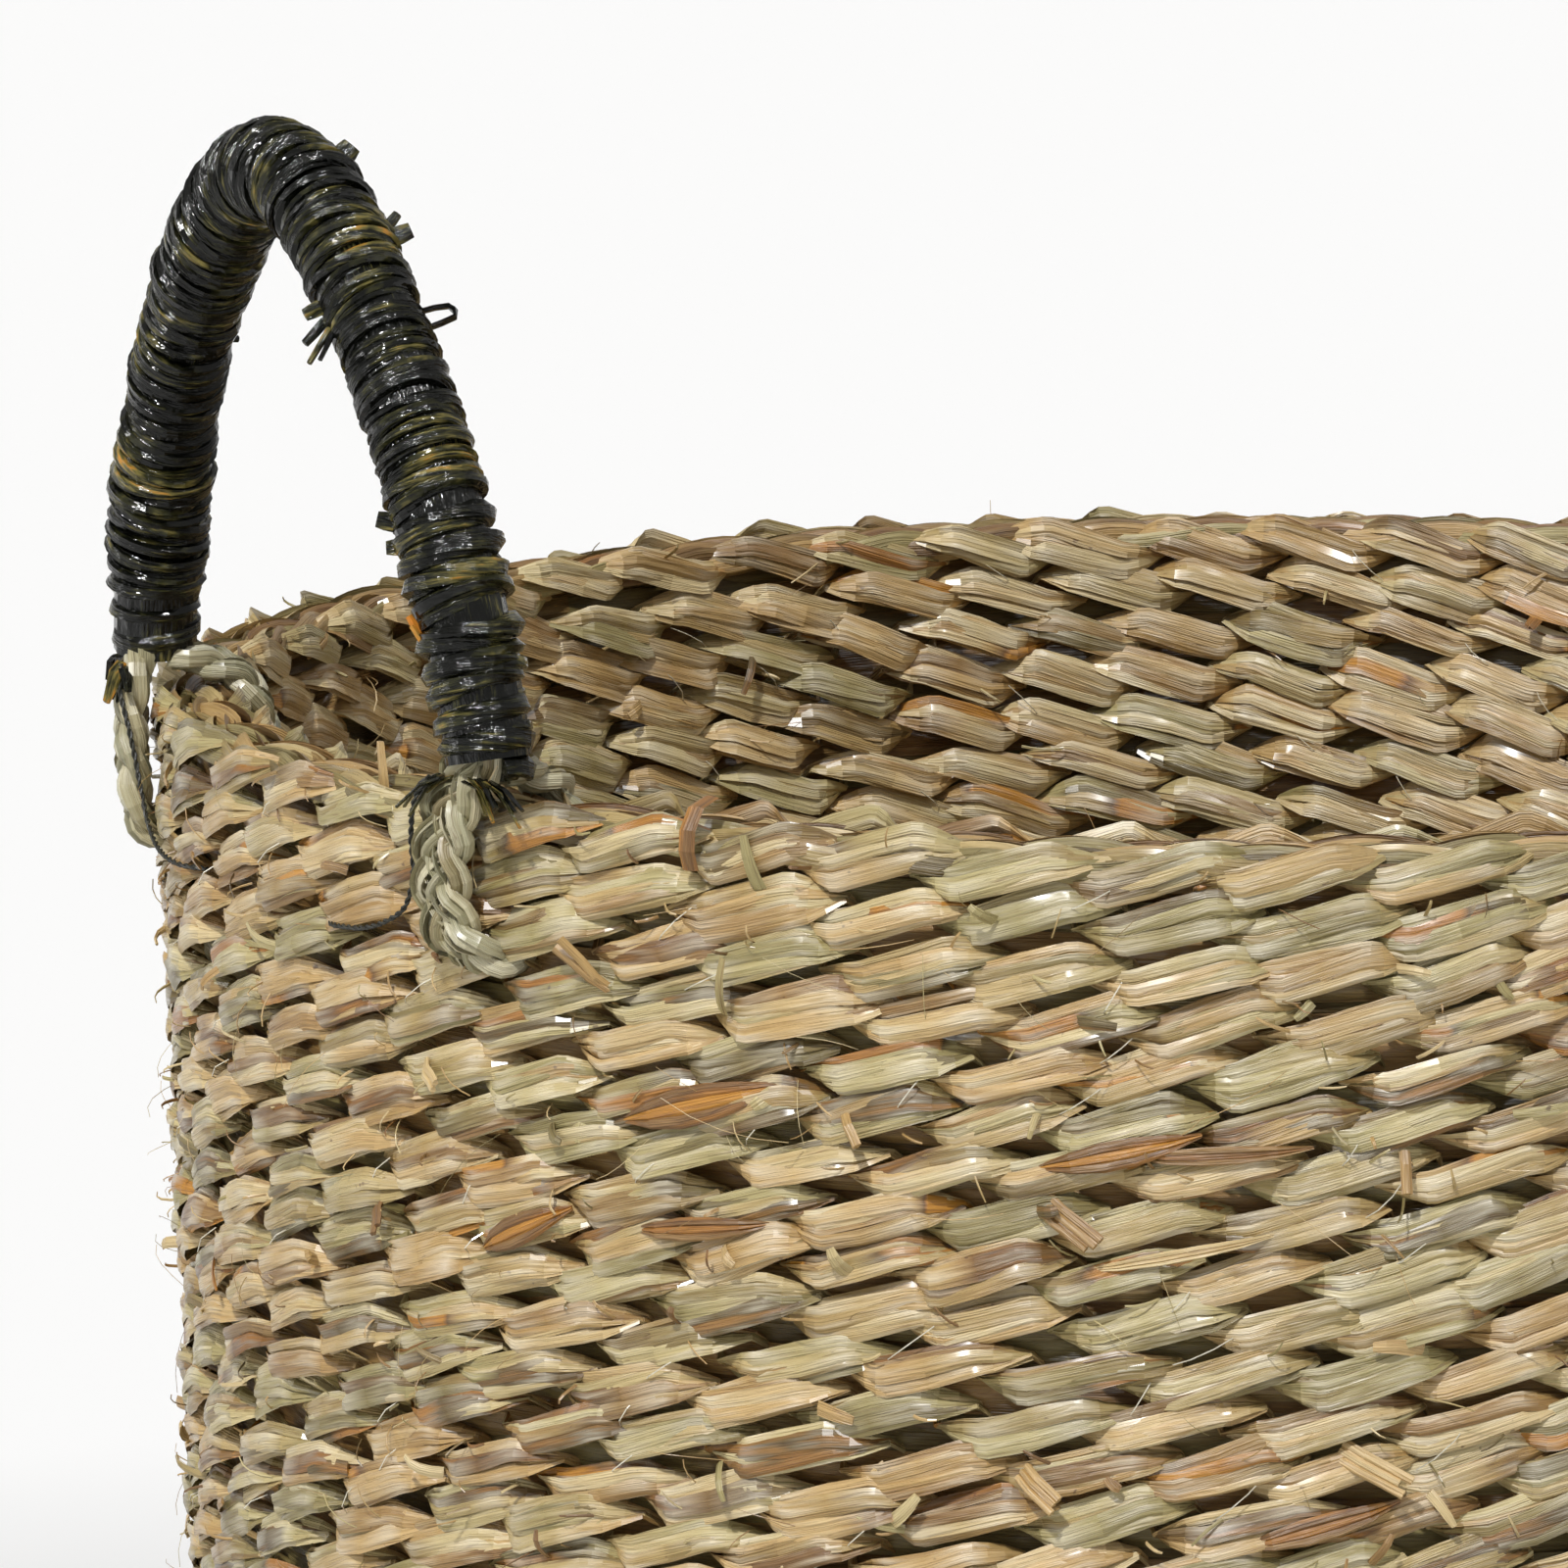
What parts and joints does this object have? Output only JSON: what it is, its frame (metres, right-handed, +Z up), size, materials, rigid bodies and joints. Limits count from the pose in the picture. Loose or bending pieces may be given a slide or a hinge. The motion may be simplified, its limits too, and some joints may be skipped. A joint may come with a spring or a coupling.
{
  "type": "storage basket",
  "caption": "Round open storage basket of coiled seagrass plait, gently tapering to a flat bottom, with cord-wrapped rope loop handles that tilt at the rim.",
  "frame": {"origin": "middle of the underside, on the surface that the basket stands on", "axes": "+Z up, +X to the right handle and -X to the left handle, -Y the front"},
  "size_m": [0.4601, 0.4602, 0.5092],
  "materials": {
    "seagrass_plait": "dry plaited seagrass, satin with a light varnish",
    "clear_thread": "thin translucent thread",
    "seagrass_rope": "green-straw plaited rope, satin",
    "black_cord": "black-dyed seagrass cord, glossy",
    "black_thread": "black twine, dull"
  },
  "bodies": {
    "basket": {"base_coil": "seagrass_plait", "heel_coil": "seagrass_plait", "wall_coil_1": "seagrass_plait", "wall_coil_2": "seagrass_plait", "wall_coil_3": "seagrass_plait", "wall_coil_4": "seagrass_plait", "rim_coil": "seagrass_plait", "sewing_thread": "clear_thread", "left_front_anchor": "seagrass_rope", "left_front_tie": "black_thread", "left_back_anchor": "seagrass_rope", "left_back_tie": "black_thread", "right_front_anchor": "seagrass_rope", "right_front_tie": "black_thread", "right_back_anchor": "seagrass_rope", "right_back_tie": "black_thread"},
    "left_handle": {"left_handle_core": "seagrass_rope", "left_handle_wrap": "black_cord"},
    "right_handle": {"right_handle_core": "seagrass_rope", "right_handle_wrap": "black_cord"}
  },
  "joints": [
    {"name": "left_handle_tilt", "type": "hinge", "parent": "basket", "child": "left_handle", "pos_m": [-0.2114, 0, 0.3958], "axis": [0, -1, 0], "range_deg": [-75, 75]},
    {"name": "right_handle_tilt", "type": "hinge", "parent": "basket", "child": "right_handle", "pos_m": [0.2114, 0, 0.3958], "axis": [0, 1, 0], "range_deg": [-75, 75]}
  ]
}
